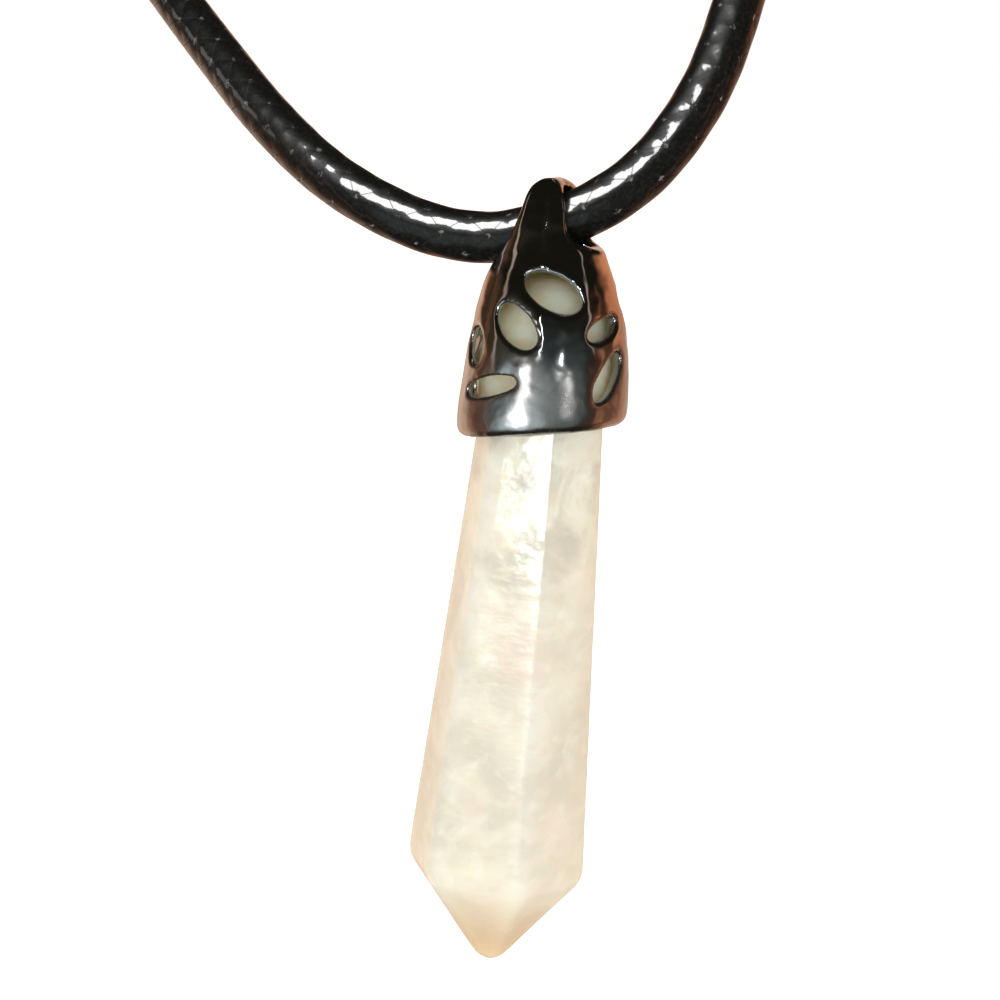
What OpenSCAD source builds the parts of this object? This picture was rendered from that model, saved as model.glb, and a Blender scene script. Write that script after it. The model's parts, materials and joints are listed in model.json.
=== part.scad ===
// Crystal pendant on a waxed braided cord. Millimetres, +Z up, -Y to the wearer's front.
// The origin is the middle of the clasp, which lies on the nape of the neck.

/* [Cord] */
// Diameter of the round braided cord
cord_d = 2.7; // [2.5:0.1:2.9]

/* [Clasp] */
// Length of the barrel clasp at the nape
clasp_len = 18; // [14:1:18]
// Outer diameter of the clasp
clasp_d = 5.2; // [4.4:0.2:6]

/* [Cap] */
// Height of the cord hole's centre above the cap's rim
hole_z = 10.5; // [10.4:0.1:10.6]
// Room round the cord in its hole
hole_room = 0.35; // [0.2:0.05:0.4]
// Slope of the cord where it runs through the cap, up to the wearer's left
hole_slope = 20; // [18:1:22]
// Rise of the rim for each millimetre across
rim_rise = 0.13; // [0:0.01:0.15]

/* [Crystal] */
// Length of the crystal below the rim, down to the shoulder of its point
shaft_len = 23.8; // [18:0.2:30]
// Height of the six-sided point below the shoulder
point_h = 5.6; // [4:0.2:8]
// Corner radius of the crystal at the rim
rim_r = 3.42; // [3.2:0.02:3.46]
// Corner radius of the crystal at the shoulder
shoulder_r = 4.94; // [4:0.02:5.2]
// Lean of the crystal in its cap
crystal_lean = 3; // [0:0.5:3]

/* [Hidden] */
smooth = 64;

// Centre of the cord hole, where the pendant hangs
bail_at = [16, -116, -110];
pendant_at = bail_at - [0, 0, hole_z];
hole_r = cord_d / 2 + hole_room;

// Bell and bail of the cap, from the rim to the tip. Columns: radius, height
BELL = [
    [3.65, -0.60], [4.05, -0.50], [4.30, -0.10], [4.39, 0.50], [4.39, 1.30],
    [4.33, 2.30], [4.26, 3.30], [4.14, 4.35], [3.95, 5.40], [3.73, 6.40],
    [3.45, 7.40], [3.05, 8.45], [2.72, 9.50], [2.48, 10.50], [2.30, 11.30],
    [1.90, 12.05], [1.30, 12.60], [0.60, 12.92]
];
tip_z = 13;

// Hollow that holds the crystal. Columns: radius, height
HOLLOW = [
    [3.68, -0.8], [3.74, 1.0], [3.70, 2.3], [3.60, 3.6], [3.40, 4.8],
    [3.12, 5.8], [2.75, 6.7], [2.30, 7.3], [1.70, 7.75], [0.90, 7.95]
];
hollow_top = 8;

// Edge of the cap seen from the front, above its shoulders. Columns: across, height
LEFT_EDGE = [
    [-2.90, 8.10], [-2.30, 8.90], [-1.90, 9.40], [-1.45, 10.20], [-1.10, 11.20],
    [-0.95, 11.90], [-0.70, 12.50], [-0.30, 12.90]
];
RIGHT_EDGE = [
    [0.30, 12.95], [0.80, 12.60], [1.15, 11.90], [1.30, 11.20], [1.42, 10.30],
    [1.70, 9.80], [2.30, 9.55], [2.90, 9.30]
];
edge_x = 6;
rim_z = 0.05;

// Pierced ovals. Columns: turn round the cap from its front, height, length, width, slant
OVALS = [
    [22, 7.25, 3.3, 1.9, -25], [-7, 5.50, 3.0, 1.75, -42], [64, 5.50, 2.6, 1.15, 22],
    [67, 3.10, 3.3, 1.55, 50], [-26, 2.35, 3.7, 1.15, 14], [-47, 4.30, 2.3, 1.7, -55],
    [112, 6.40, 2.6, 1.6, -40], [128, 2.20, 2.8, 1.3, -10], [154, 7.20, 3.0, 1.6, 25],
    [152, 4.40, 3.0, 1.6, -35], [190, 2.20, 3.2, 1.2, 10], [196, 5.80, 2.8, 1.6, 40],
    [232, 3.90, 3.0, 1.5, -20], [242, 6.70, 2.6, 1.5, 30], [272, 2.30, 2.6, 1.4, 45],
    [274, 5.40, 2.6, 1.5, -30]
];
oval_points = 20;
oval_from = 1.6;
oval_to = 6;

// Rings of the crystal above the rim, where it is ground to fit. Columns: radius, height
GROUND = [[1.35, 7.6], [2.0, 7.0], [3.15, 4.0]];
crystal_sides = 6;
// The point ends a little to one side of the middle
point_shift = 0.25;

// Route of the cord, from the clasp down to the pendant and back up to the clasp
ROUTE = [
    [-clasp_len / 2, 0, 0], [-21, -1.5, -0.5], [-37, -7.5, -3], [-51.5, -17, -8],
    [-60.5, -29.5, -16.5], [-63.5, -42.5, -28], [-61, -55, -41.5], [-54.8, -66.5, -55],
    [-44.5, -77.5, -68.5], [-32.5, -87.5, -81], [-21.3, -95.9, -90.8], [-13, -102.1, -97.4],
    [-6.5, -107.7, -102], [-1.6, -111.8, -105.3], [2.7, -114.4, -107.9],
    [6.5, -115.8, -109.6], [9.9, -116.05, -110.65], [13.1, -116.05, -110.8],
    bail_at,
    [18.4, -115.5, -108.8], [20.35, -114.4, -107.1], [21.8, -112.9, -104.8],
    [22.9, -111, -101.8], [23.5, -108.3, -97.6], [23.8, -104.9, -92.6],
    [24.5, -101, -87], [26.1, -96.5, -80.2], [29.8, -90.8, -71.6], [36.2, -83.5, -61.5],
    [44.6, -73.5, -48.5], [52.5, -62, -36.5], [58.5, -49.5, -25], [59.8, -34.5, -14.5],
    [51, -20, -7.5], [37.5, -8.7, -3.2], [21, -1.4, -0.6], [clasp_len / 2, 0, 0]
];
cord_sides = 8;
ring_gap = 6.5;
// Both ends of the cord run along X into the clasp
end_way = [-1, 0, 0];
// A direction that the cord never runs along, which its rings are set out from
across = [0, 0.7, -0.7];

function unit(v) = v / norm(v);

// A point on the smooth curve from route point i to the next, t from 0 to 1
function on_route(i, t) =
    let (
        a = ROUTE[max(i - 1, 0)],
        b = ROUTE[i],
        c = ROUTE[i + 1],
        d = ROUTE[min(i + 2, len(ROUTE) - 1)]
    )
    0.5 * (2 * b + (c - a) * t + (2 * a - 5 * b + 4 * c - d) * t * t
        + (3 * b - a - 3 * c + d) * t * t * t);

function rings_in(i) = max(1, round(norm(ROUTE[i + 1] - ROUTE[i]) / ring_gap));

CENTRES = [
    for (i = [0 : len(ROUTE) - 2])
        for (k = [0 : rings_in(i) - 1]) on_route(i, k / rings_in(i)),
    ROUTE[len(ROUTE) - 1]
];

function cord_way(k) =
    (k == 0 || k == len(CENTRES) - 1) ? end_way
    : unit(unit(CENTRES[k + 1] - CENTRES[k]) + unit(CENTRES[k] - CENTRES[k - 1]));

function cord_ring(k) =
    let (
        way = cord_way(k),
        side = unit(cross(way, across)),
        other = cross(way, side)
    )
    [
        for (s = [0 : cord_sides - 1])
            let (a = 360 * (s + 0.5) / cord_sides)
            CENTRES[k] + cord_d / 2 * (side * cos(a) + other * sin(a))
    ];

// Corners of one ring of the crystal, whose flat sides face the front and the back
function crystal_ring(r, z) = [
    for (s = [0 : crystal_sides - 1])
        let (a = 360 * (s + 0.5) / crystal_sides)
        [r * sin(a), -r * cos(a), z]
];

module oval(turn, height, length, width, slant) {
    rotate([0, 0, turn])
        translate([0, -oval_from, height])
            rotate([90, 0, 0])
                linear_extrude(height = oval_to - oval_from)
                    rotate(slant)
                        polygon([
                            for (s = [0 : oval_points - 1])
                                let (a = 360 * s / oval_points)
                                [length / 2 * cos(a), width / 2 * sin(a)]
                        ]);
}

// The whole outline of the cap from the front, as a slab that trims the bell
module front_outline() {
    rotate([90, 0, 0])
        linear_extrude(height = 2 * edge_x, center = true)
            polygon(concat(
                [[-edge_x, rim_z - rim_rise * edge_x], [-edge_x, LEFT_EDGE[0].y]],
                LEFT_EDGE,
                RIGHT_EDGE,
                [[edge_x, RIGHT_EDGE[len(RIGHT_EDGE) - 1].y],
                    [edge_x, rim_z + rim_rise * edge_x]]
            ));
}

// Cast metal cap: a thin bell with pierced ovals, and a bail arch over the cord
module cap() {
    color([0.50, 0.50, 0.52])
        translate(pendant_at)
            difference() {
                intersection() {
                    rotate_extrude($fn = smooth)
                        polygon(concat([[0, BELL[0].y]], BELL, [[0, tip_z]]));
                    front_outline();
                }
                rotate_extrude($fn = smooth)
                    polygon(concat([[0, HOLLOW[0].y]], HOLLOW, [[0, hollow_top]]));
                translate([0, 0, hole_z])
                    rotate([0, 90 - hole_slope, 0])
                        cylinder(r = hole_r, h = 4 * edge_x, center = true, $fn = smooth);
                for (o = OVALS) oval(o[0], o[1], o[2], o[3], o[4]);
            }
}

// Six-sided crystal: ground top inside the cap, widening shaft, shallow point
module crystal() {
    n = crystal_sides;
    rings = concat(
        [for (g = GROUND) crystal_ring(g[0], g[1])],
        [crystal_ring(rim_r, 0), crystal_ring(shoulder_r, -shaft_len)]
    );
    last = len(rings) - 1;
    color([0.92, 0.87, 0.78])
        translate(pendant_at)
            rotate([0, crystal_lean, 0])
                polyhedron(
                    points = concat(
                        [for (ring = rings) for (p = ring) p],
                        [[point_shift, 0, -shaft_len - point_h]]
                    ),
                    faces = concat(
                        [[for (s = [0 : n - 1]) n - 1 - s]],
                        [
                            for (k = [0 : last - 1])
                                for (s = [0 : n - 1])
                                    let (t = (s + 1) % n)
                                    [k * n + s, k * n + t, (k + 1) * n + t, (k + 1) * n + s]
                        ],
                        [
                            for (s = [0 : n - 1])
                                [last * n + s, last * n + (s + 1) % n, (last + 1) * n]
                        ]
                    )
                );
}

// Braided cord: one tube through the pendant's hole, from clasp end to clasp end
module cord() {
    n = cord_sides;
    last = len(CENTRES) - 1;
    color([0.05, 0.05, 0.055])
        polyhedron(
            points = [for (k = [0 : last]) for (p = cord_ring(k)) p],
            faces = concat(
                [[for (s = [0 : n - 1]) s]],
                [[for (s = [0 : n - 1]) last * n + n - 1 - s]],
                [
                    for (k = [0 : last - 1])
                        for (s = [0 : n - 1])
                            let (t = (s + 1) % n)
                            [k * n + s, (k + 1) * n + s, (k + 1) * n + t, k * n + t]
                ]
            )
        );
}

// Barrel clasp at the nape, the cord's ends butted against its end faces
module clasp() {
    half = clasp_len / 2;
    r = clasp_d / 2;
    collar_r = cord_d / 2 + 0.55;
    color([0.62, 0.62, 0.64])
        rotate([0, 90, 0])
            rotate_extrude($fn = smooth)
                polygon([
                    [0, -half], [collar_r, -half], [collar_r + 0.25, -half + 0.4],
                    [collar_r + 0.25, -half + 2.6], [r - 0.3, -half + 3], [r, -half + 3.4],
                    [r, -0.7], [r - 0.3, -0.4], [r - 0.3, 0.4], [r, 0.7],
                    [r, half - 3.4], [r - 0.3, half - 3], [collar_r + 0.25, half - 2.6],
                    [collar_r + 0.25, half - 0.4], [collar_r, half], [0, half]
                ]);
}

cap();
crystal();
cord();
clasp();
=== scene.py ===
import json
import math

import bpy
import numpy as np
from mathutils import Matrix, Vector


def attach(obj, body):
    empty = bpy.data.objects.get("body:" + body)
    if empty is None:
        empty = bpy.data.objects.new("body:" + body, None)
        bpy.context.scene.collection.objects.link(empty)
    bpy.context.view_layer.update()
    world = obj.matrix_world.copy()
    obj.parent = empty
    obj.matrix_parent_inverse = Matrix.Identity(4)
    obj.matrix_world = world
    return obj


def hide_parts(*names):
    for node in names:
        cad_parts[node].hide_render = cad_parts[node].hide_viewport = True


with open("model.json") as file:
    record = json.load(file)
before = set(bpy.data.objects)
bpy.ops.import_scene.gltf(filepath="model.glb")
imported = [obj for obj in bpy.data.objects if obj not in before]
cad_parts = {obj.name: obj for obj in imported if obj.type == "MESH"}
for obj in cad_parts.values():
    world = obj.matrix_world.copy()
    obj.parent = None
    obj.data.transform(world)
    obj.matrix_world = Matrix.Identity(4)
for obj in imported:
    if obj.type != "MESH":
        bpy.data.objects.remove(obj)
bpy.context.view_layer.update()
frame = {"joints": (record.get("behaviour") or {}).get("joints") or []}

# Camera. It stands a little to the wearer's left of the pendant, looks down on it by nine
# degrees and is rolled by three, as a camera held in the hand is.
BAIL = Vector(frame["joints"][0]["pos_m"])
camera_turn = math.radians(17)
camera_fall = math.radians(9)
camera_roll = math.radians(2.9)
camera_away = 0.120
sensor_width = 36
lens_length = 84.24
bail_to_picture_middle = Vector((-0.001165, -0.002682, -0.014042))
aim = BAIL + bail_to_picture_middle
level = Vector((math.cos(camera_turn), math.sin(camera_turn), 0))
toward_camera = Vector((
    math.sin(camera_turn) * math.cos(camera_fall),
    -math.cos(camera_turn) * math.cos(camera_fall),
    math.sin(camera_fall),
))
upright = toward_camera.cross(level)
picture_right = level * math.cos(camera_roll) + upright * math.sin(camera_roll)
picture_up = upright * math.cos(camera_roll) - level * math.sin(camera_roll)
bpy.ops.object.camera_add(
    location=aim + toward_camera * camera_away,
    rotation=Matrix((picture_right, picture_up, toward_camera)).transposed().to_euler(),
)
camera = bpy.context.object
camera.name = "Camera"
camera.data.sensor_width = sensor_width
camera.data.lens = lens_length
camera.data.clip_start = 0.01
bpy.context.scene.camera = camera

# Cord. A round black cord braided from eight polyester strands and drawn through wax, so
# that it is glossy and its braid shows as long shallow scales. It is one length, threaded
# through the cap's bail before its two ends are glued into the clasp.
CORD_RADIUS = 0.00135
CORD_ROUTE = [
    (-0.009, 0, 0), (-0.021, -0.0015, -0.0005), (-0.037, -0.0075, -0.003),
    (-0.0515, -0.017, -0.008), (-0.0605, -0.0295, -0.0165), (-0.0635, -0.0425, -0.028),
    (-0.061, -0.055, -0.0415), (-0.0548, -0.0665, -0.055), (-0.0445, -0.0775, -0.0685),
    (-0.0325, -0.0875, -0.081), (-0.0213, -0.0959, -0.0908), (-0.013, -0.1021, -0.0974),
    (-0.0065, -0.1077, -0.102), (-0.0016, -0.1118, -0.1053), (0.0027, -0.1144, -0.1079),
    (0.0065, -0.1158, -0.1096), (0.0099, -0.11605, -0.11065), (0.0131, -0.11605, -0.1108),
    tuple(BAIL), (0.0184, -0.1155, -0.1088), (0.02035, -0.1144, -0.1071),
    (0.0218, -0.1129, -0.1048), (0.0229, -0.111, -0.1018), (0.0235, -0.1083, -0.0976),
    (0.0238, -0.1049, -0.0926), (0.0245, -0.101, -0.087), (0.0261, -0.0965, -0.0802),
    (0.0298, -0.0908, -0.0716), (0.0362, -0.0835, -0.0615), (0.0446, -0.0735, -0.0485),
    (0.0525, -0.062, -0.0365), (0.0585, -0.0495, -0.025), (0.0598, -0.0345, -0.0145),
    (0.051, -0.02, -0.0075), (0.0375, -0.0087, -0.0032), (0.021, -0.0014, -0.0006),
    (0.009, 0, 0),
]
glued_in = 0.0012
route_steps = 60
scale_length = 0.0025
strands_each_way = 4
yarns_per_strand = 5
cord_sides = 48
rings_per_scale = 8
scale_relief = 0.00002
wax_relief = 0.00010


def smooth_route(points, steps):
    """Points along the smooth curve through the route, close together."""
    p = np.array([points[0], *points, points[-1]], float)
    line = []
    for a, b, c, d in zip(p, p[1:], p[2:], p[3:]):
        for t in np.arange(steps) / steps:
            line.append(0.5 * (
                2 * b + (c - a) * t + (2 * a - 5 * b + 4 * c - d) * t ** 2
                + (3 * b - a - 3 * c + d) * t ** 3
            ))
    line.append(p[-1])
    return np.array(line)


def evenly_spaced(line, gap):
    """The same line with points a gap apart along it, and how far along it each one is."""
    along = np.concatenate([[0], np.cumsum(np.linalg.norm(np.diff(line, axis=0), axis=1))])
    places = np.linspace(0, along[-1], round(along[-1] / gap) + 1)
    return np.stack([np.interp(places, along, line[:, k]) for k in range(3)], axis=1), places


def braided_tube(name, line, places):
    """A tube along the line whose surface has the braid's scales, with a map that follows it."""
    ways = np.gradient(line, axis=0)
    ways /= np.linalg.norm(ways, axis=1)[:, None]
    side = np.array([0, 0, 1.0])
    turn = 2 * math.pi * np.arange(cord_sides) / cord_sides
    strand_place = strands_each_way * np.arange(cord_sides) / cord_sides
    corners = []
    for centre, way, place in zip(line, ways, places):
        side = side - way * np.dot(side, way)
        side /= np.linalg.norm(side)
        other = np.cross(way, side)
        one_way = strand_place + place / scale_length
        other_way = strand_place - place / scale_length
        one_on_top = (np.floor(one_way) + np.floor(other_way)) % 2 == 0
        across = np.where(one_on_top, one_way % 1, other_way % 1) * 2 - 1
        lengthwise = np.where(one_on_top, other_way % 1, one_way % 1) * 2 - 1
        crown = (1 - across ** 2) * (1 - lengthwise ** 2)
        radius = CORD_RADIUS - scale_relief * (1 - crown)
        corners.append(
            centre + radius[:, None]
            * (np.cos(turn)[:, None] * side + np.sin(turn)[:, None] * other)
        )
    rings = len(line)
    faces = [
        (
            k * cord_sides + s,
            k * cord_sides + (s + 1) % cord_sides,
            (k + 1) * cord_sides + (s + 1) % cord_sides,
            (k + 1) * cord_sides + s,
        )
        for k in range(rings - 1) for s in range(cord_sides)
    ]
    last = (rings - 1) * cord_sides
    ends = [
        tuple(reversed(range(cord_sides))),
        tuple(range(last, last + cord_sides)),
    ]
    mesh = bpy.data.meshes.new(name)
    mesh.from_pydata(np.concatenate(corners).tolist(), [], faces + ends)
    braid_map = mesh.uv_layers.new(name="Braid")
    step = strands_each_way / cord_sides
    coordinates = np.zeros((len(mesh.loops), 2))
    ring, column = np.divmod(np.arange(len(faces)), cord_sides)
    low, high = places[ring] / scale_length, places[ring + 1] / scale_length
    coordinates[:4 * len(faces), 0] = np.stack(
        [column, column + 1, column + 1, column], axis=1
    ).ravel() * step
    coordinates[:4 * len(faces), 1] = np.stack([low, low, high, high], axis=1).ravel()
    braid_map.data.foreach_set("uv", coordinates.ravel())
    piece = bpy.data.objects.new(name, mesh)
    bpy.context.scene.collection.objects.link(piece)
    mesh.shade_smooth()
    return piece


def add(tree, kind, inputs=(), **settings):
    """Adds a shader node. An input is a plain value, or the socket that feeds it."""
    made = tree.nodes.new("ShaderNode" + kind)
    for name, value in settings.items():
        setattr(made, name, value)
    for name, value in dict(inputs).items():
        if isinstance(value, bpy.types.NodeSocket):
            tree.links.new(value, made.inputs[name])
        else:
            made.inputs[name].default_value = value
    return made


def maths(tree, operation, *values, clamp=False):
    """The result of one step of arithmetic on sockets or numbers."""
    inputs = dict(enumerate(values))
    return add(tree, "Math", inputs, operation=operation, use_clamp=clamp).outputs[0]


def eased(tree, value, start, end, low=0.0, high=1.0):
    """value turned smoothly from low at start to high at end."""
    inputs = {"Value": value, "From Min": start, "From Max": end, "To Min": low, "To Max": high}
    return add(tree, "MapRange", inputs, interpolation_type="SMOOTHSTEP").outputs[0]


def blended(tree, share, one, other, way="MIX"):
    """Two colours mixed by a share, from the first at 0 to the second at 1."""
    made = add(tree, "Mix", {"Factor": share}, data_type="RGBA", blend_type=way)
    for socket, value in ((made.inputs[6], one), (made.inputs[7], other)):
        if isinstance(value, bpy.types.NodeSocket):
            tree.links.new(value, socket)
        else:
            socket.default_value = (*value, 1)
    return made.outputs[2]


def finish_named(name, **plain):
    """A new material with its plain values set, as (material, node tree, shader node)."""
    material = bpy.data.materials.new(name)
    material.use_nodes = True
    shader = material.node_tree.nodes["Principled BSDF"]
    for socket, value in plain.items():
        shader.inputs[socket.replace("_", " ")].default_value = value
    return material, material.node_tree, shader


cord_line = smooth_route(CORD_ROUTE, route_steps)
cord_line[0] += (glued_in, 0, 0)
cord_line[-1] -= (glued_in, 0, 0)
cord_line, cord_places = evenly_spaced(cord_line, scale_length / rings_per_scale)
cord = braided_tube("waxed_cord", cord_line, cord_places)

waxed_braid, tree, shader = finish_named(
    "waxed_braid", IOR=1.5, Specular_IOR_Level=0.1, Coat_Roughness=0.08
)
braid = add(tree, "SeparateXYZ", {0: add(tree, "UVMap", uv_map="Braid").outputs[0]}).outputs
one_way = maths(tree, "ADD", braid[0], braid[1])
other_way = maths(tree, "SUBTRACT", braid[0], braid[1])
whole = maths(tree, "ADD", maths(tree, "FLOOR", one_way), maths(tree, "FLOOR", other_way))
other_on_top = maths(tree, "PINGPONG", whole, 1)
yarn_place = maths(
    tree, "ADD",
    maths(tree, "MULTIPLY", maths(tree, "SUBTRACT", 1, other_on_top), one_way),
    maths(tree, "MULTIPLY", other_on_top, other_way),
)
yarn_turns = maths(tree, "MULTIPLY", yarn_place, 2 * math.pi * yarns_per_strand)
yarns = maths(tree, "SINE", yarn_turns)
to_edge = maths(
    tree, "MINIMUM",
    maths(tree, "PINGPONG", one_way, 0.5), maths(tree, "PINGPONG", other_way, 0.5),
)
to_corner = maths(
    tree, "MAXIMUM",
    maths(tree, "PINGPONG", one_way, 0.5), maths(tree, "PINGPONG", other_way, 0.5),
)
on_scale = eased(tree, to_edge, 0.0, 0.035)
pillow = eased(tree, to_edge, 0.0, 0.40)
cord_place = add(tree, "TexCoord").outputs["Object"]
wax = add(tree, "TexNoise", {"Vector": cord_place, "Scale": 900, "Detail": 1.5}).outputs["Fac"]
dust = add(tree, "TexNoise", {"Vector": cord_place, "Scale": 5200, "Detail": 2}).outputs["Fac"]
height = maths(tree, "MULTIPLY", yarns, 0.006)
for part, share in ((wax, 0.40), (pillow, 0.22)):
    height = maths(tree, "ADD", height, maths(tree, "MULTIPLY", part, share))
bump = add(tree, "Bump", {"Height": height, "Strength": 0.8, "Distance": wax_relief})
tree.links.new(bump.outputs[0], shader.inputs["Normal"])
tree.links.new(bump.outputs[0], shader.inputs["Coat Normal"])
dull = maths(tree, "MULTIPLY", eased(tree, dust, 0.45, 0.7), 0.6)
black = blended(tree, dull, (0.006, 0.006, 0.006), (0.022, 0.020, 0.015))
# Darker still in the grooves between the strands: painted shade in the creases.
black = blended(tree, maths(tree, "SUBTRACT", 1, on_scale), black, (0.003, 0.003, 0.003))
# Pale dots where the strands cross, at the scale corners: painted glints.
painted_corner_glints = maths(
    tree, "MULTIPLY", eased(tree, to_corner, 0.11, 0.03), eased(tree, dust, 0.46, 0.60, 0, 0.8)
)
black = blended(tree, painted_corner_glints, black, (0.26, 0.25, 0.22))
tree.links.new(black, shader.inputs["Base Color"])
tree.links.new(eased(tree, on_scale, 0, 1, 0.20, 0.50), shader.inputs["Coat Weight"])
gloss = maths(
    tree, "ADD",
    eased(tree, on_scale, 0.0, 1.0, 0.55, 0.28), maths(tree, "MULTIPLY", wax, 0.14),
)
tree.links.new(gloss, shader.inputs["Roughness"])
cord.data.materials.append(waxed_braid)
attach(cord, "necklace")
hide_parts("cord")

# Clasp. A plain barrel of nickel-plated brass at the nape, closed by a magnet: two turned
# halves that meet at a groove, each with a narrower collar that the cord is glued into.
CLASP_OUTLINE = [
    (-6.6, 0.0), (-6.6, 1.45), (-8.75, 1.45), (-9.0, 1.6), (-9.0, 1.9), (-8.6, 2.15),
    (-8.0, 2.15), (-7.8, 2.0), (-7.5, 2.0), (-7.3, 2.15), (-6.4, 2.15), (-6.0, 2.3),
    (-5.6, 2.58), (-5.2, 2.6), (-0.75, 2.6), (-0.45, 2.5), (-0.35, 2.3),
    (0.35, 2.3), (0.45, 2.5), (0.75, 2.6), (5.2, 2.6), (5.6, 2.58), (6.0, 2.3),
    (6.4, 2.15), (7.3, 2.15), (7.5, 2.0), (7.8, 2.0), (8.0, 2.15), (8.6, 2.15),
    (9.0, 1.9), (9.0, 1.6), (8.75, 1.45), (6.6, 1.45), (6.6, 0.0),
]
lathe_steps = 96
edge_break = 0.07


def turned(name, outline, about, steps):
    """A body turned on a lathe: its outline is drawn point by point, then spun about an axis."""
    bpy.ops.object.select_all(action="DESELECT")
    bpy.ops.mesh.primitive_plane_add(size=0.1, location=outline[0])
    bpy.ops.object.mode_set(mode="EDIT")
    bpy.ops.mesh.select_all(action="SELECT")
    bpy.ops.mesh.merge(type="CENTER")
    bpy.ops.object.mode_set(mode="OBJECT")
    bpy.ops.object.transform_apply(location=True)
    bpy.ops.object.mode_set(mode="EDIT")
    bpy.ops.mesh.select_all(action="SELECT")
    for here, there in zip(outline, outline[1:]):
        step = Vector(there) - Vector(here)
        bpy.ops.mesh.extrude_vertices_move(TRANSFORM_OT_translate={"value": step})
    bpy.ops.mesh.select_all(action="SELECT")
    bpy.ops.mesh.spin(steps=steps, angle=2 * math.pi, center=(0, 0, 0), axis=about)
    bpy.ops.mesh.select_all(action="SELECT")
    bpy.ops.mesh.remove_doubles(threshold=0.001)
    bpy.ops.mesh.normals_make_consistent(inside=False)
    bpy.ops.object.mode_set(mode="OBJECT")
    piece = bpy.context.object
    piece.name = name
    return piece


def apply_modifier(piece, kind, **settings):
    """Adds a modifier with its settings and applies it at once."""
    bpy.ops.object.select_all(action="DESELECT")
    bpy.context.view_layer.objects.active = piece
    piece.select_set(True)
    made = piece.modifiers.new(kind.lower(), kind)
    for name, value in settings.items():
        setattr(made, name, value)
    bpy.ops.object.modifier_apply(modifier=made.name)


def set_in_place(piece, body, where):
    """Brings a piece worked in millimetres to its true size and place, and joins it to its body."""
    piece.data.transform(Matrix.Translation(where) @ Matrix.Scale(0.001, 4))
    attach(piece, body)


clasp = turned("barrel_clasp", [(x, 0, r) for x, r in CLASP_OUTLINE], (1, 0, 0), lathe_steps)
apply_modifier(
    clasp, "BEVEL", width=edge_break, segments=2,
    limit_method="ANGLE", angle_limit=math.radians(14),
)
bpy.ops.object.shade_smooth_by_angle(angle=math.radians(40))
nickel, tree, shader = finish_named("nickel_plate", Metallic=1.0)
clasp_place = add(tree, "TexCoord").outputs["Object"]
brushed = add(tree, "Mapping", {"Vector": clasp_place, "Scale": (9000, 400, 400)}).outputs[0]
turning = add(tree, "TexNoise", {"Vector": brushed, "Scale": 1, "Detail": 4}).outputs["Fac"]
smear = add(tree, "TexNoise", {"Vector": clasp_place, "Scale": 420, "Detail": 5}).outputs["Fac"]
tone = blended(tree, eased(tree, smear, 0.35, 0.7), (0.60, 0.60, 0.61), (0.49, 0.475, 0.45))
tree.links.new(tone, shader.inputs["Base Color"])
gloss = maths(
    tree, "ADD", eased(tree, smear, 0.3, 0.75, 0.12, 0.30), maths(tree, "MULTIPLY", turning, 0.08)
)
tree.links.new(gloss, shader.inputs["Roughness"])
bump = add(tree, "Bump", {"Height": turning, "Strength": 0.25, "Distance": 0.00001})
tree.links.new(bump.outputs[0], shader.inputs["Normal"])
clasp.data.materials.append(nickel)
set_in_place(clasp, "necklace", Vector((0, 0, 0)))
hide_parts("clasp")

# Cap. A thin bell cast in one with its pointed bail and pierced with ovals of all slants,
# then plated and polished like a dark mirror, so that every rim and bar is rounded over.
# It is worked here in millimetres about the middle of its rim. The crystal is glued into it.
PENDANT = BAIL - Vector((0, 0, 0.0105))
BELL = [
    (0.0, -0.10), (3.60, -0.10), (4.05, -0.02), (4.32, 0.22), (4.39, 0.65), (4.39, 1.30),
    (4.33, 2.30), (4.26, 3.30), (4.14, 4.35), (3.95, 5.40), (3.73, 6.40), (3.45, 7.40),
    (3.08, 8.45), (2.76, 9.50), (2.48, 10.50), (2.24, 11.40), (2.04, 12.15), (1.75, 12.62),
    (1.20, 12.88), (0.60, 12.98), (0.0, 13.0),
]
HOLLOW = [
    (0.0, -1.5), (3.68, -1.5), (3.70, -0.8), (3.78, 1.0), (3.78, 2.3), (3.70, 3.6),
    (3.52, 4.8), (3.27, 5.8), (2.93, 6.7), (2.52, 7.4), (1.90, 7.95), (1.00, 8.20), (0.0, 8.25),
]
rim_rise = 0.13
tilted_height = 4
belly_shift = 0.2
belly_height = 10
FRONT_EDGE = [
    (-6.0, -2.0), (-6.0, 8.10), (-2.90, 8.10), (-2.30, 8.90), (-1.90, 9.40), (-1.45, 10.20),
    (-1.10, 11.20), (-0.95, 11.90), (-0.70, 12.50), (-0.30, 12.90), (0.30, 12.95),
    (0.80, 12.60), (1.15, 11.90), (1.30, 11.20), (1.42, 10.30), (1.70, 9.80), (2.30, 9.55),
    (2.90, 9.30), (6.0, 9.30), (6.0, -2.0),
]
OVALS = [
    (22, 7.25, 3.3, 1.9, -25), (-7, 5.50, 3.0, 1.75, -42), (64, 5.50, 2.6, 1.15, 22),
    (67, 3.10, 3.3, 1.55, 50), (-26, 2.35, 3.7, 1.15, 14), (-47, 4.30, 2.3, 1.7, -55),
    (112, 6.40, 2.6, 1.6, -40), (128, 2.20, 2.8, 1.3, -10), (154, 7.20, 3.0, 1.6, 25),
    (152, 4.40, 3.0, 1.6, -35), (190, 2.20, 3.2, 1.2, 10), (196, 5.80, 2.8, 1.6, 40),
    (232, 3.90, 3.0, 1.5, -20), (242, 6.70, 2.6, 1.5, 30), (272, 2.30, 2.6, 1.4, 45),
    (274, 5.40, 2.6, 1.5, -30),
]
front_slab = 12
hole_height = 10.5
hole_radius = 1.7
hole_slope = math.radians(20)
hole_drill = 16
oval_punch = 4.4
punch_away = 3.8
polished_off = 0.2
casting_grain = 0.085
casting_wave = 0.10


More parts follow.
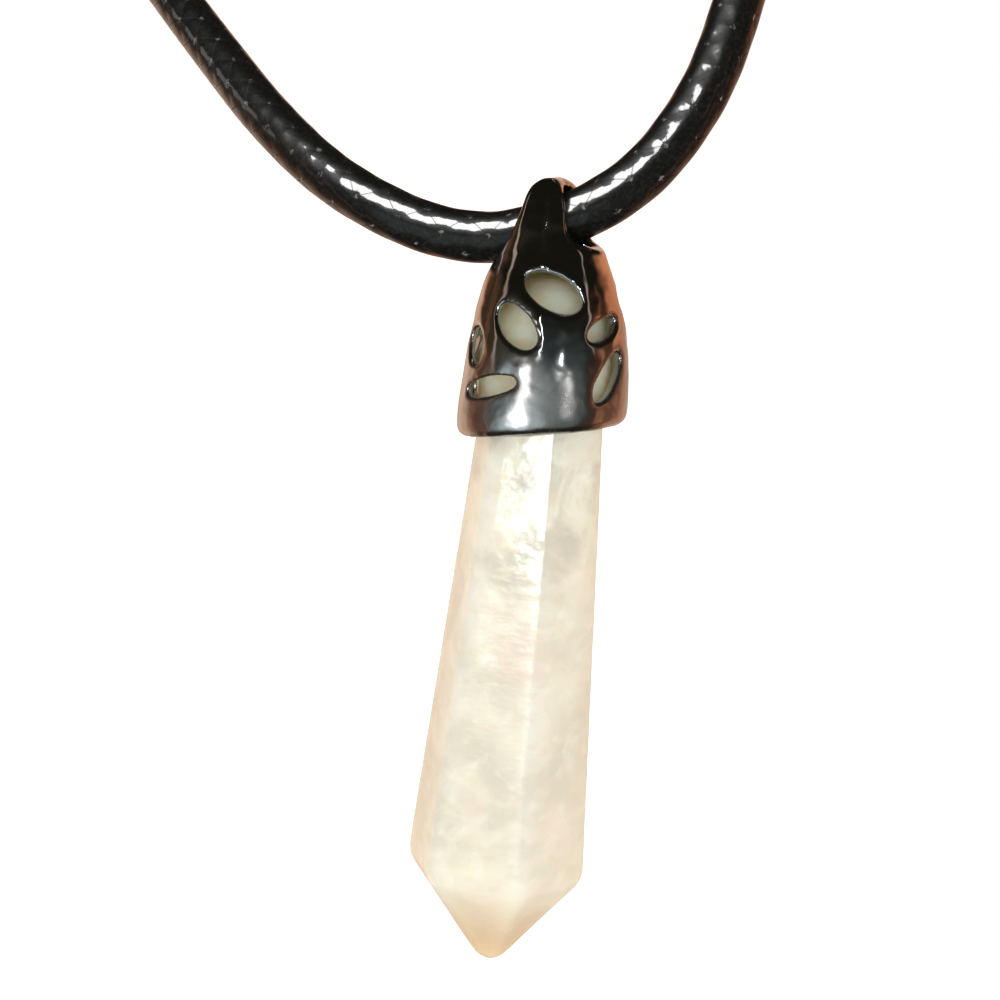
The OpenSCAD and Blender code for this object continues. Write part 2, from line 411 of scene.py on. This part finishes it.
def cut(piece, tool, way="DIFFERENCE"):
    """Takes the tool's shape from a piece, or keeps what they share, and clears the tool away."""
    apply_modifier(piece, "BOOLEAN", object=tool, operation=way, solver="EXACT")
    bpy.data.objects.remove(tool)


bell_line = smooth_route([(r, 0, z) for r, z in BELL], 3)
cap = turned("pierced_cap", bell_line, (0, 0, 1), lathe_steps)
hollow = turned("hollow", [(r, 0, z) for r, z in HOLLOW], (0, 0, 1), lathe_steps)
for corner in cap.data.vertices:
    low = min(max((tilted_height - corner.co.z) / tilted_height, 0), 1)
    corner.co.z += rim_rise * corner.co.x * low ** 2
    up = min(max(corner.co.z, 0), belly_height) / belly_height
    corner.co.x += belly_shift * math.sin(math.pi * up)
bpy.ops.object.select_all(action="DESELECT")
bpy.ops.mesh.primitive_circle_add(
    vertices=len(FRONT_EDGE), fill_type="NGON", rotation=(math.pi / 2, 0, 0)
)
slab = bpy.context.object
bpy.ops.object.transform_apply(rotation=True)
for corner, (x, z) in zip(slab.data.vertices, FRONT_EDGE):
    corner.co = (x, -front_slab / 2, z)
bpy.ops.object.mode_set(mode="EDIT")
bpy.ops.mesh.select_all(action="SELECT")
bpy.ops.mesh.extrude_region_move(TRANSFORM_OT_translate={"value": (0, front_slab, 0)})
bpy.ops.mesh.select_all(action="SELECT")
bpy.ops.mesh.normals_make_consistent(inside=False)
bpy.ops.object.mode_set(mode="OBJECT")
cut(cap, slab, "INTERSECT")
cut(cap, hollow)
bpy.ops.mesh.primitive_cylinder_add(
    vertices=64, radius=hole_radius, depth=hole_drill,
    location=(0, 0, hole_height), rotation=(0, math.pi / 2 - hole_slope, 0),
)
cut(cap, bpy.context.object)
for turn, height, length, width, slant in OVALS:
    faces_out = Matrix.Rotation(math.radians(turn), 4, "Z")
    lie = faces_out @ Matrix.Rotation(math.pi / 2, 4, "X")
    lie = lie @ Matrix.Rotation(math.radians(slant), 4, "Z")
    bpy.ops.mesh.primitive_cylinder_add(
        vertices=40, radius=0.5, depth=oval_punch,
        scale=(length - polished_off, width - polished_off, 1),
        location=faces_out @ Vector((0, -punch_away, height)), rotation=lie.to_euler(),
    )
    cut(cap, bpy.context.object)
apply_modifier(cap, "REMESH", mode="VOXEL", voxel_size=casting_grain, use_smooth_shade=True)
apply_modifier(cap, "SMOOTH", factor=0.5, iterations=45)
casting_waves = bpy.data.textures.new("casting_waves", "CLOUDS")
casting_waves.noise_scale = 2.2
apply_modifier(
    cap, "DISPLACE", texture=casting_waves, texture_coords="LOCAL",
    strength=casting_wave, mid_level=0.5,
)
dark_mirror, tree, shader = finish_named("dark_mirror_plate", Metallic=1.0)
cap_place = add(tree, "TexCoord").outputs["Object"]
smear = add(tree, "TexNoise", {"Vector": cap_place, "Scale": 380, "Detail": 6}).outputs["Fac"]
speck = add(tree, "TexNoise", {"Vector": cap_place, "Scale": 3800, "Detail": 3}).outputs["Fac"]
tone = blended(tree, eased(tree, smear, 0.35, 0.7), (0.50, 0.51, 0.52), (0.40, 0.39, 0.38))
tree.links.new(tone, shader.inputs["Base Color"])
cap_height = add(tree, "SeparateXYZ", {0: cap_place}).outputs[2]
worn = eased(tree, cap_height, PENDANT.z + 0.0065, PENDANT.z + 0.0015)
gloss = maths(
    tree, "ADD", eased(tree, smear, 0.3, 0.75, 0.03, 0.10),
    maths(tree, "MULTIPLY", worn, maths(tree, "ADD", 0.15, maths(tree, "MULTIPLY", speck, 0.08))),
)
tree.links.new(gloss, shader.inputs["Roughness"])
dents = add(
    tree, "TexNoise", {"Vector": cap_place, "Scale": 560, "Detail": 1, "Distortion": 1.0}
).outputs["Fac"]
bump = add(
    tree, "Bump", {"Height": maths(tree, "MULTIPLY", worn, dents), "Distance": 0.00006}
)
tree.links.new(bump.outputs[0], shader.inputs["Normal"])
cap.data.materials.append(dark_mirror)
set_in_place(cap, "pendant", PENDANT)
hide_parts("cap")

# Crystal. A six-sided point of milky quartz, sawn and polished with softened edges. Its top
# is ground to a cone that fills the cap's hollow, where the glue holds it, a little askew.
rim_radius = 3.34
shoulder_radius = 4.97
shaft_length = 23.8
point_height = 6.0
point_offset = 0.25
held_length = 1.5
edge_round = 0.45
stone_grain = 0.13
polish_wave = 0.04
crystal_lean = math.radians(3)
crystal_twist = math.radians(3)
painted_fringe_turn = math.radians(17)
half_width_at_rim = 0.0033
half_width_gain = 0.056
GROUND_TOP = [
    (0.0, 0.2), (2.8, 0.2), (3.35, 0.9), (3.55, 2.3), (3.46, 3.8), (3.22, 5.0),
    (2.88, 6.0), (2.48, 6.8), (2.10, 7.3), (1.60, 7.75), (0.9, 7.95), (0.0, 8.0),
]
bpy.ops.object.select_all(action="DESELECT")
bpy.ops.mesh.primitive_cylinder_add(
    vertices=6, radius=rim_radius, depth=shaft_length + held_length,
    location=(0, 0, (held_length - shaft_length) / 2), rotation=(0, 0, math.pi / 6),
)
crystal = bpy.context.object
crystal.name = "quartz_point"
bpy.ops.object.transform_apply(location=True, rotation=True)
bpy.ops.object.mode_set(mode="EDIT")
bpy.ops.mesh.select_all(action="DESELECT")
bpy.ops.object.mode_set(mode="OBJECT")
for face in crystal.data.polygons:
    face.select = face.normal.z < -0.9
bpy.ops.object.mode_set(mode="EDIT")
widen = shoulder_radius / rim_radius
bpy.ops.transform.resize(value=(widen, widen, 1), center_override=(0, 0, -shaft_length))
to_point = (point_offset, 0, -point_height)
bpy.ops.mesh.extrude_region_move(TRANSFORM_OT_translate={"value": to_point})
bpy.ops.mesh.merge(type="CENTER")
bpy.ops.object.mode_set(mode="OBJECT")
apply_modifier(crystal, "BEVEL", width=edge_round, segments=4, limit_method="NONE")
ground_top = turned("ground_top", [(r, 0, z) for r, z in GROUND_TOP], (0, 0, 1), 64)
cut(crystal, ground_top, "UNION")
apply_modifier(crystal, "REMESH", mode="VOXEL", voxel_size=stone_grain, use_smooth_shade=True)
apply_modifier(crystal, "SMOOTH", factor=0.5, iterations=16)
hand_polish = bpy.data.textures.new("hand_polish", "CLOUDS")
hand_polish.noise_scale = 3.5
apply_modifier(
    crystal, "DISPLACE", texture=hand_polish, texture_coords="LOCAL",
    strength=polish_wave, mid_level=0.5,
)
crystal.data.transform(
    Matrix.Rotation(crystal_lean, 4, "Y") @ Matrix.Rotation(crystal_twist, 4, "Z")
)

milky_quartz, tree, shader = finish_named(
    "milky_quartz", IOR=1.54, Subsurface_Weight=1.0, Subsurface_Scale=0.004
)
shader.inputs["Subsurface Radius"].default_value = (1.0, 0.8, 0.6)
quartz_place = add(tree, "TexCoord").outputs["Object"]
clouds = add(
    tree, "TexNoise", {"Vector": quartz_place, "Scale": 300, "Detail": 4, "Distortion": 0.6}
).outputs["Fac"]
veils = add(
    tree, "TexNoise", {"Vector": quartz_place, "Scale": 620, "Detail": 5, "Distortion": 0.9}
).outputs["Fac"]
blush = add(tree, "TexNoise", {"Vector": quartz_place, "Scale": 190, "Detail": 2}).outputs["Fac"]
# The way across the point as the camera sees it, along which the painted warm fringe is laid.
painted_fringe_way = (math.cos(painted_fringe_turn), math.sin(painted_fringe_turn), 0)
below_rim = add(tree, "VectorMath", {0: quartz_place, 1: PENDANT}, operation="SUBTRACT").outputs[0]
sideways = add(tree, "VectorMath", {0: below_rim, 1: painted_fringe_way}, operation="DOT_PRODUCT")
depth = maths(tree, "MULTIPLY", add(tree, "SeparateXYZ", {0: below_rim}).outputs[2], -1)
sideways = maths(
    tree, "ADD", sideways.outputs["Value"], maths(tree, "MULTIPLY", depth, math.tan(crystal_lean))
)
half_width = maths(
    tree, "ADD", half_width_at_rim, maths(tree, "MULTIPLY", depth, half_width_gain)
)
to_side = maths(tree, "DIVIDE", maths(tree, "ABSOLUTE", sideways), half_width)
stone = blended(tree, eased(tree, clouds, 0.35, 0.65), (0.78, 0.75, 0.63), (0.88, 0.85, 0.73))
stone = blended(tree, eased(tree, veils, 0.52, 0.75, 0, 0.6), stone, (0.95, 0.93, 0.84))
stone = blended(tree, eased(tree, blush, 0.52, 0.68, 0, 0.5), stone, (0.88, 0.76, 0.66))
# Greyer in patches just below the cap.
grey_near_cap = maths(
    tree, "MULTIPLY", eased(tree, depth, 0.011, 0.002, 0, 0.72), eased(tree, clouds, 0.56, 0.42)
)
stone = blended(tree, grey_near_cap, stone, (0.60, 0.585, 0.50))
grains = add(tree, "Mapping", {"Vector": quartz_place, "Scale": (700, 700, 1300)}).outputs[0]
flecks = add(tree, "TexNoise", {"Vector": grains, "Scale": 1, "Detail": 5}).outputs["Fac"]
stone = blended(tree, eased(tree, flecks, 0.52, 0.72, 0, 0.40), stone, (0.97, 0.94, 0.78))
stone = blended(tree, eased(tree, flecks, 0.46, 0.28, 0, 0.35), stone, (0.80, 0.70, 0.56))
# Warmer and darker towards the sides as the camera sees them: a painted warm fringe of light along
# the edges. Warmer also towards the tip.
painted_fringe_and_warm_tip = maths(
    tree, "ADD", eased(tree, to_side, 0.72, 1.0, 0, 0.35),
    eased(tree, depth, 0.0228, 0.0278, 0, 0.95), clamp=True,
)
stone = blended(tree, painted_fringe_and_warm_tip, stone, (0.67, 0.52, 0.345))
# Brighter and yellower above the rim, inside the cap: painted light that offsets the cap's shade.
brightened_inside_cap = blended(tree, eased(tree, flecks, 0.40, 0.56), (0.94, 0.79, 0.52), (1.00, 0.89, 0.64))
stone = blended(tree, eased(tree, depth, -0.0003, -0.0010), stone, brightened_inside_cap)
tree.links.new(stone, shader.inputs["Base Color"])
gloss = maths(
    tree, "ADD", eased(tree, veils, 0.3, 0.75, 0.06, 0.11), eased(tree, depth, 0.005, 0.010, 0, 0.10)
)
tree.links.new(gloss, shader.inputs["Roughness"])
bump = add(tree, "Bump", {"Height": flecks, "Distance": 0.000025})
tree.links.new(bump.outputs[0], shader.inputs["Normal"])
crystal.data.materials.append(milky_quartz)
set_in_place(crystal, "pendant", PENDANT)
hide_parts("crystal")

# Studio. A pale floor well below the pendant, soft panels that give each piece highlights of
# its own, a fill and two warm walls for all of them, and a room that is white to look at but
# mirrors in polished metal as a dark room with warm walls.
floor_size = 60
floor_height = -0.26
bpy.ops.object.select_all(action="DESELECT")
bpy.ops.mesh.primitive_plane_add(size=floor_size, location=(0, 0, floor_height))
floor = bpy.context.object
floor.name = "floor"
floor.visible_glossy = False
paper, tree, shader = finish_named("pale_paper", Roughness=0.9, Emission_Strength=0.65)
shader.inputs["Emission Color"].default_value = (1, 1, 1, 1)
grain = add(tree, "TexNoise", {"Scale": 60, "Detail": 4}).outputs["Fac"]
tone = blended(tree, grain, (0.88, 0.88, 0.88), (0.92, 0.92, 0.92))
tree.links.new(tone, shader.inputs["Base Color"])
floor.data.materials.append(paper)


def soft_light(name, turn, lift, away, width, height, radiance, tint, flagged=(), **seen_by):
    """A soft panel that faces the pendant. turn and lift say where it stands, seen from there.

    A panel with flagged pieces lights only those.
    """
    turn = math.radians(turn) + camera_turn
    lift = math.radians(lift)
    way = Vector((
        math.sin(turn) * math.cos(lift), -math.cos(turn) * math.cos(lift), math.sin(lift)
    ))
    bpy.ops.object.light_add(
        type="AREA", location=aim + way * away, rotation=way.to_track_quat("Z", "Y").to_euler()
    )
    light = bpy.context.object
    light.name = name
    light.data.shape = "RECTANGLE"
    light.data.size = width
    light.data.size_y = height
    light.data.energy = radiance * math.pi * width * height
    light.data.color = tint
    light.visible_camera = False
    for ray, sees in seen_by.items():
        setattr(light, "visible_" + ray, sees)
    if flagged:
        light.light_linking.receiver_collection = bpy.data.collections.new("lit_by_" + name)
        for piece in flagged:
            light.light_linking.receiver_collection.objects.link(piece)


# Each highlight: turn, lift, distance, width, height, radiance, and the pieces that show it.
white = (1.0, 1.0, 1.0)
HIGHLIGHTS = {
    "flash": (-36, 48, 0.50, 0.44, 0.24, 40, [cord, clasp]),
    "left_panel": (-106, 18, 0.40, 0.12, 0.10, 1.5, [cord]),
    "window": (-33, -1, 0.50, 0.14, 0.17, 4, [cap]),
    "window_core": (-31, -10, 0.50, 0.10, 0.08, 20, [cap]),
    "tube": (-14, 19, 0.50, 0.014, 0.09, 12, [cap]),
    "lamp": (19, 11, 0.50, 0.02, 0.02, 60, [cap]),
    "low_lamp": (31, -2, 0.50, 0.03, 0.012, 40, [cap]),
    "band": (-15.8, 5.5, 0.50, 0.190, 0.194, 18, [crystal]),
}
for name, (turn, lift, away, width, height, radiance, pieces) in HIGHLIGHTS.items():
    soft_light(
        name, turn, lift, away, width, height, radiance, white, flagged=pieces, diffuse=False
    )
warm = (1.0, 0.47, 0.32)
soft_light("fill", -15, 25, 0.60, 0.50, 0.40, 0.4, (1.0, 0.99, 0.96), glossy=False)
soft_light("warm_wall_left", -125, -4, 0.40, 0.14, 0.18, 0.6, warm, glossy=False)
soft_light("warm_wall_right", 112, 3, 0.40, 0.14, 0.24, 0.6, warm, glossy=False)

world = bpy.data.worlds.new("studio")
bpy.context.scene.world = world
world.use_nodes = True
tree = world.node_tree
way = add(tree, "TexCoord").outputs["Generated"]
ahead = add(
    tree, "VectorMath", {0: way, 1: (math.sin(camera_turn), -math.cos(camera_turn), 0)},
    operation="DOT_PRODUCT",
).outputs["Value"]
aside = add(tree, "VectorMath", {0: way, 1: level}, operation="DOT_PRODUCT").outputs["Value"]
lift = add(tree, "SeparateXYZ", {0: way}).outputs[2]
bearing = maths(tree, "ARCTAN2", aside, ahead)
turn = maths(tree, "ABSOLUTE", maths(tree, "ADD", bearing, math.radians(9)))
turn = maths(tree, "DIVIDE", turn, math.pi)
room = add(tree, "ValToRGB", {0: turn})
stops = [
    (0.0, (0.012, 0.014, 0.016)), (0.39, (0.012, 0.012, 0.012)), (0.43, (0.09, 0.033, 0.018)),
    (0.64, (0.13, 0.050, 0.027)), (0.78, (0.50, 0.27, 0.17)), (1.0, (0.75, 0.56, 0.44)),
]
for k, (place, colour) in enumerate(stops):
    stop = room.color_ramp.elements[k] if k < 2 else room.color_ramp.elements.new(place)
    stop.position = place
    stop.color = (*colour, 1)
patches = add(tree, "TexNoise", {"Vector": way, "Scale": 3.0, "Detail": 1}).outputs["Fac"]
patches = maths(
    tree, "MULTIPLY", eased(tree, patches, 0.49, 0.58, 0, 0.9), eased(tree, turn, 0.45, 0.52)
)
mirrored = blended(tree, patches, room.outputs[0], (0.78, 0.33, 0.18))
left_wall = maths(
    tree, "MULTIPLY", eased(tree, aside, -0.1, -0.5), eased(tree, turn, 0.56, 0.72, 0, 0.9)
)
left_wall = maths(tree, "MULTIPLY", left_wall, eased(tree, lift, 0.12, -0.02))
mirrored = blended(tree, left_wall, mirrored, (1.0, 0.70, 0.52))
left_recess = maths(
    tree, "MULTIPLY", eased(tree, aside, -0.1, -0.4), eased(tree, turn, 0.77, 0.70)
)
left_recess = maths(tree, "MULTIPLY", left_recess, eased(tree, lift, 0.04, 0.14, 0, 0.85))
mirrored = blended(tree, left_recess, mirrored, (0.06, 0.04, 0.022))
right_wall = maths(
    tree, "MULTIPLY", eased(tree, aside, 0.1, 0.5), eased(tree, turn, 0.60, 0.68)
)
right_wall = maths(tree, "MULTIPLY", right_wall, eased(tree, lift, 0.02, 0.14))
mirrored = blended(tree, right_wall, mirrored, (0.95, 0.36, 0.17))
mirrored = blended(tree, eased(tree, lift, 0.22, 0.42), mirrored, (0.013, 0.012, 0.0075))
low_front = maths(
    tree, "MULTIPLY", eased(tree, lift, 0.50, -0.45), eased(tree, turn, 0.40, 0.30)
)
mirrored = blended(tree, low_front, mirrored, (0.17, 0.20, 0.19))
off_glow = maths(tree, "ABSOLUTE", maths(tree, "ADD", bearing, math.radians(28)))
glow = maths(
    tree, "MULTIPLY", eased(tree, off_glow, math.radians(46), math.radians(24)),
    maths(tree, "MULTIPLY", eased(tree, lift, 0.13, -0.10), eased(tree, lift, -0.72, -0.50)),
)
mirrored = blended(tree, glow, mirrored, (0.64, 0.74, 0.76))
off_edge = maths(tree, "ABSOLUTE", maths(tree, "SUBTRACT", turn, 0.415))
door_edge = maths(
    tree, "MULTIPLY", eased(tree, off_edge, 0.020, 0.006),
    maths(tree, "MAXIMUM", eased(tree, aside, 0.1, -0.1), eased(tree, lift, 0.10, 0.22)),
)
door_edge = maths(tree, "MULTIPLY", door_edge, eased(tree, lift, 0.60, 0.45))
mirrored = blended(tree, door_edge, mirrored, (0.60, 0.46, 0.37))
mirrored = blended(tree, eased(tree, lift, -0.55, -0.80), mirrored, (0.020, 0.017, 0.012))
path = add(tree, "LightPath").outputs
seen = blended(tree, path["Is Glossy Ray"], (0.65, 0.65, 0.64), mirrored)
seen = blended(tree, path["Is Camera Ray"], seen, (1.0, 1.0, 1.0))
tree.links.new(seen, tree.nodes["Background"].inputs["Color"])
bpy.context.scene.view_settings.view_transform = "Standard"
